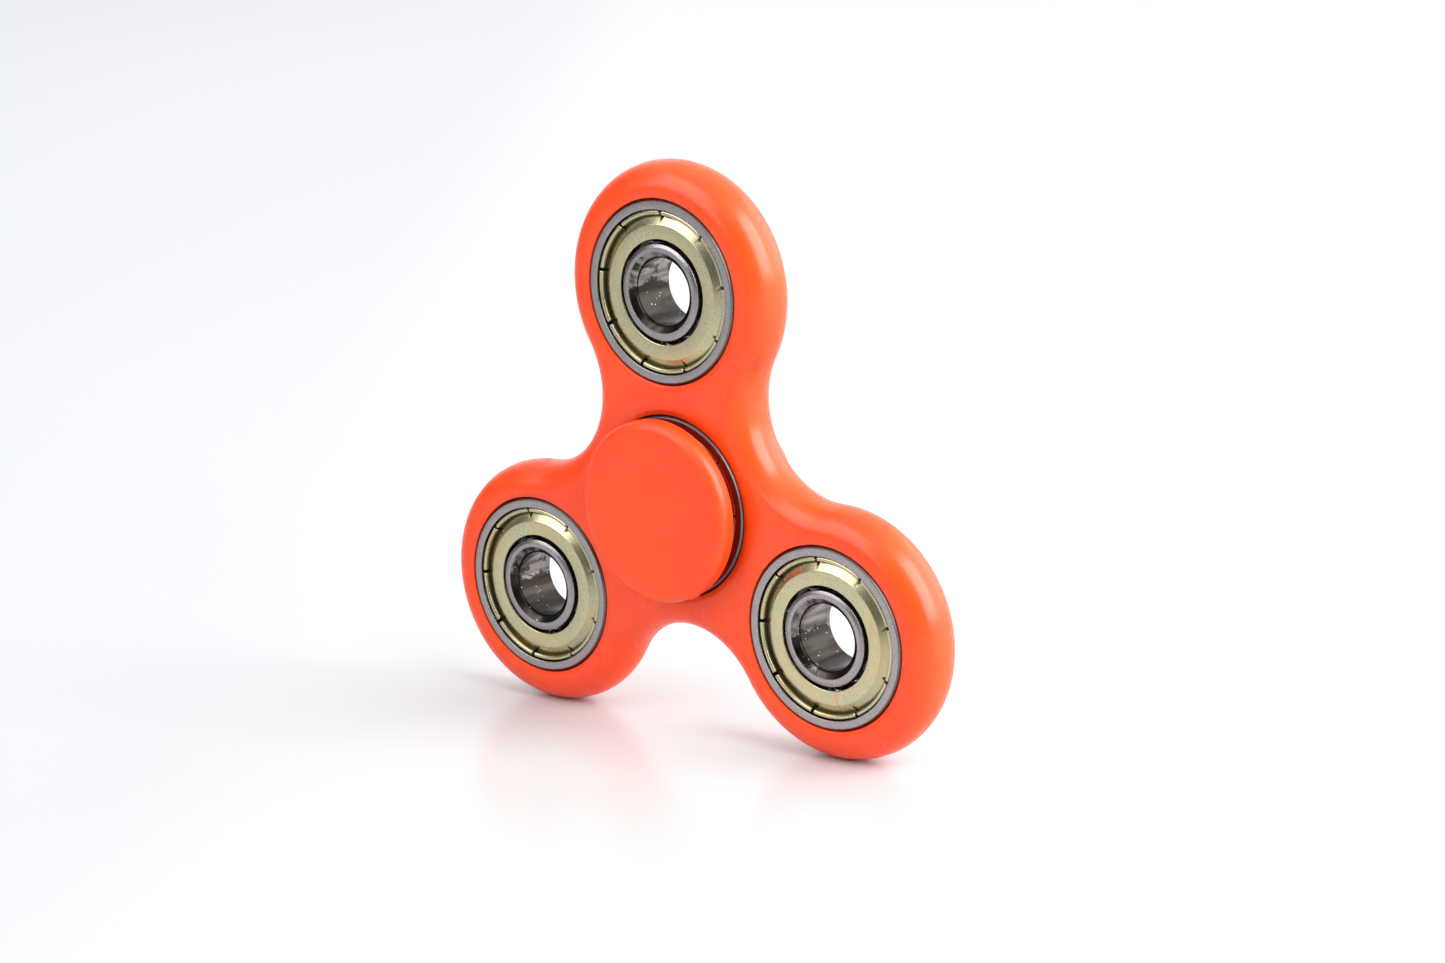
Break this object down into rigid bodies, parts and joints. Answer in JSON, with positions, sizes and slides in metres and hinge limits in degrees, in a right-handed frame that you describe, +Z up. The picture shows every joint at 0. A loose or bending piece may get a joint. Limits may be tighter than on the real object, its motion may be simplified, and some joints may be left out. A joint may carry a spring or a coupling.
{
  "type": "fidget spinner",
  "caption": "Hand spinner: a flat three-lobed plastic body that turns on a central ball bearing between two finger caps, with a shielded ball bearing in each lobe as a weight.",
  "frame": {"origin": "middle of the centre bearing, on the spin axis and halfway through the body", "axes": "+Y along the spin axis to the rear cap, +Z up through the top lobe, +X to the right, so the front faces -Y"},
  "size_m": [0.0748, 0.0144, 0.0689],
  "materials": {
    "orange_plastic": "moulded orange-red plastic, satin gloss",
    "ring_steel": "ground bearing steel",
    "shield_zinc": "pressed steel shield, pale yellow zinc plating",
    "cage_steel": "pressed steel ribbon",
    "ball_steel": "lapped bearing balls"
  },
  "bodies": {
    "hub": {"front_finger_cap": "orange_plastic", "rear_finger_cap": "orange_plastic", "centre_inner_ring": "ring_steel"},
    "rotor": {"tri_lobe_body": "orange_plastic", "centre_outer_ring": "ring_steel", "centre_front_shield": "shield_zinc", "centre_rear_shield": "shield_zinc", "top_outer_ring": "ring_steel", "top_front_shield": "shield_zinc", "top_rear_shield": "shield_zinc", "left_outer_ring": "ring_steel", "left_front_shield": "shield_zinc", "left_rear_shield": "shield_zinc", "right_outer_ring": "ring_steel", "right_front_shield": "shield_zinc", "right_rear_shield": "shield_zinc"},
    "centre_balls": {"centre_front_cage": "cage_steel", "centre_rear_cage": "cage_steel", "centre_ball_1": "ball_steel", "centre_ball_2": "ball_steel", "centre_ball_3": "ball_steel", "centre_ball_4": "ball_steel", "centre_ball_5": "ball_steel", "centre_ball_6": "ball_steel", "centre_ball_7": "ball_steel"},
    "top_balls": {"top_front_cage": "cage_steel", "top_rear_cage": "cage_steel", "top_ball_1": "ball_steel", "top_ball_2": "ball_steel", "top_ball_3": "ball_steel", "top_ball_4": "ball_steel", "top_ball_5": "ball_steel", "top_ball_6": "ball_steel", "top_ball_7": "ball_steel"},
    "left_balls": {"left_front_cage": "cage_steel", "left_rear_cage": "cage_steel", "left_ball_1": "ball_steel", "left_ball_2": "ball_steel", "left_ball_3": "ball_steel", "left_ball_4": "ball_steel", "left_ball_5": "ball_steel", "left_ball_6": "ball_steel", "left_ball_7": "ball_steel"},
    "right_balls": {"right_front_cage": "cage_steel", "right_rear_cage": "cage_steel", "right_ball_1": "ball_steel", "right_ball_2": "ball_steel", "right_ball_3": "ball_steel", "right_ball_4": "ball_steel", "right_ball_5": "ball_steel", "right_ball_6": "ball_steel", "right_ball_7": "ball_steel"},
    "top_race": {"top_inner_ring": "ring_steel"},
    "left_race": {"left_inner_ring": "ring_steel"},
    "right_race": {"right_inner_ring": "ring_steel"}
  },
  "joints": [
    {"name": "spin", "type": "hinge", "parent": "hub", "child": "rotor", "pos_m": [0, 0, 0], "axis": [0, 1, 0], "continuous": true},
    {"name": "centre_balls_orbit", "type": "hinge", "parent": "hub", "child": "centre_balls", "pos_m": [0, 0, 0], "axis": [0, 1, 0], "continuous": true},
    {"name": "top_race_turn", "type": "hinge", "parent": "rotor", "child": "top_race", "pos_m": [0, 0, 0.0257], "axis": [0, 1, 0], "continuous": true},
    {"name": "top_balls_orbit", "type": "hinge", "parent": "rotor", "child": "top_balls", "pos_m": [0, 0, 0.0257], "axis": [0, 1, 0], "continuous": true},
    {"name": "left_race_turn", "type": "hinge", "parent": "rotor", "child": "left_race", "pos_m": [-0.02226, 0, -0.01285], "axis": [0, 1, 0], "continuous": true},
    {"name": "left_balls_orbit", "type": "hinge", "parent": "rotor", "child": "left_balls", "pos_m": [-0.02226, 0, -0.01285], "axis": [0, 1, 0], "continuous": true},
    {"name": "right_race_turn", "type": "hinge", "parent": "rotor", "child": "right_race", "pos_m": [0.02226, 0, -0.01285], "axis": [0, 1, 0], "continuous": true},
    {"name": "right_balls_orbit", "type": "hinge", "parent": "rotor", "child": "right_balls", "pos_m": [0.02226, 0, -0.01285], "axis": [0, 1, 0], "continuous": true}
  ],
  "couplings": [
    {"joint": "centre_balls_orbit", "follows": "spin", "ratio": 0.6323},
    {"joint": "top_balls_orbit", "follows": "top_race_turn", "ratio": 0.3677},
    {"joint": "left_balls_orbit", "follows": "left_race_turn", "ratio": 0.3677},
    {"joint": "right_balls_orbit", "follows": "right_race_turn", "ratio": 0.3677}
  ]
}
